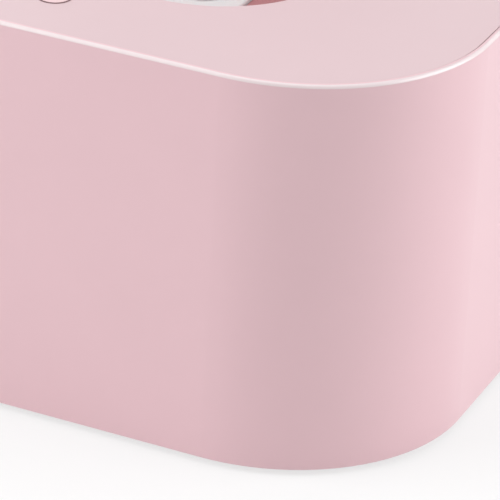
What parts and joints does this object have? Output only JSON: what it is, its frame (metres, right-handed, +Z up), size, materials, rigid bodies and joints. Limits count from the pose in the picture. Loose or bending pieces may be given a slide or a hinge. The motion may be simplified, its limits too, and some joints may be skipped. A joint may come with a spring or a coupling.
{
  "type": "baby wipe warmer",
  "caption": "Rounded tabletop wipe warmer with a heated tub, a lift-off inset lid, a hinged flip cover over a soft dispensing slot and a small release button.",
  "frame": {"origin": "on the floor under the middle of the housing, level with the underside of the feet", "axes": "+X to the user's right along the front, +Y from the front to the back wall, +Z up"},
  "size_m": [0.191, 0.126, 0.1585],
  "materials": {
    "pink_plastic": "satin",
    "white_plastic": "satin",
    "white_silicone": "matte",
    "grey_rubber": "matte",
    "steel": "satin",
    "aluminium": "satin",
    "heater_film": "satin",
    "white_foam": "matte",
    "board_green": "satin",
    "black_plastic": "satin",
    "red_wire": "satin",
    "amber_lens": "gloss"
  },
  "bodies": {
    "housing": {"outer_shell": "pink_plastic", "base_plate": "pink_plastic", "rubber_feet": "grey_rubber", "base_screws": "steel", "inner_tub": "white_plastic", "heating_plate": "aluminium", "heater_film": "heater_film", "insulation_pad": "white_foam", "insulation_wrap": "white_foam", "thermistor": "black_plastic", "thermal_fuse": "steel", "heater_leads": "red_wire", "control_board": "board_green", "board_screws": "steel", "driver_chip": "black_plastic", "smoothing_capacitor": "black_plastic", "heater_connector": "white_plastic", "power_inlet": "black_plastic", "tact_switch": "black_plastic", "indicator_led": "amber_lens", "indicator_lens": "amber_lens"},
    "power_button": {"power_button": "pink_plastic"},
    "lid": {"lid_panel": "pink_plastic", "lid_seal": "white_silicone", "cover_seal": "white_silicone", "dispensing_mouth": "white_silicone", "cover_hinge_pin": "steel", "latch_guide": "white_plastic", "latch_screws": "steel", "button_spring": "steel"},
    "flip_cover": {"flip_cover": "pink_plastic"},
    "release_button": {"release_button": "pink_plastic"},
    "latch_slide": {"latch_slide": "white_plastic"}
  },
  "joints": [
    {"name": "lid_lift", "type": "slide", "parent": "housing", "child": "lid", "axis": [0, 0, 1], "range_m": [0, 0.06]},
    {"name": "cover_hinge", "type": "hinge", "parent": "lid", "child": "flip_cover", "pos_m": [0, 0.0325, 0.095], "axis": [1, 0, 0], "range_deg": [0, 100]},
    {"name": "release_press", "type": "slide", "parent": "lid", "child": "release_button", "axis": [0, 0, -1], "range_m": [0, 0.0012], "stiffness_N_per_m": 500, "deforming": ["button_spring"]},
    {"name": "latch_draw", "type": "slide", "parent": "lid", "child": "latch_slide", "axis": [0, -1, 0], "range_m": [0, 0.0012]},
    {"name": "power_press", "type": "slide", "parent": "housing", "child": "power_button", "axis": [0, -1, 0], "range_m": [0, 0.0006], "stiffness_N_per_m": 600}
  ],
  "couplings": [
    {"joint": "latch_draw", "follows": "release_press", "ratio": 1}
  ]
}
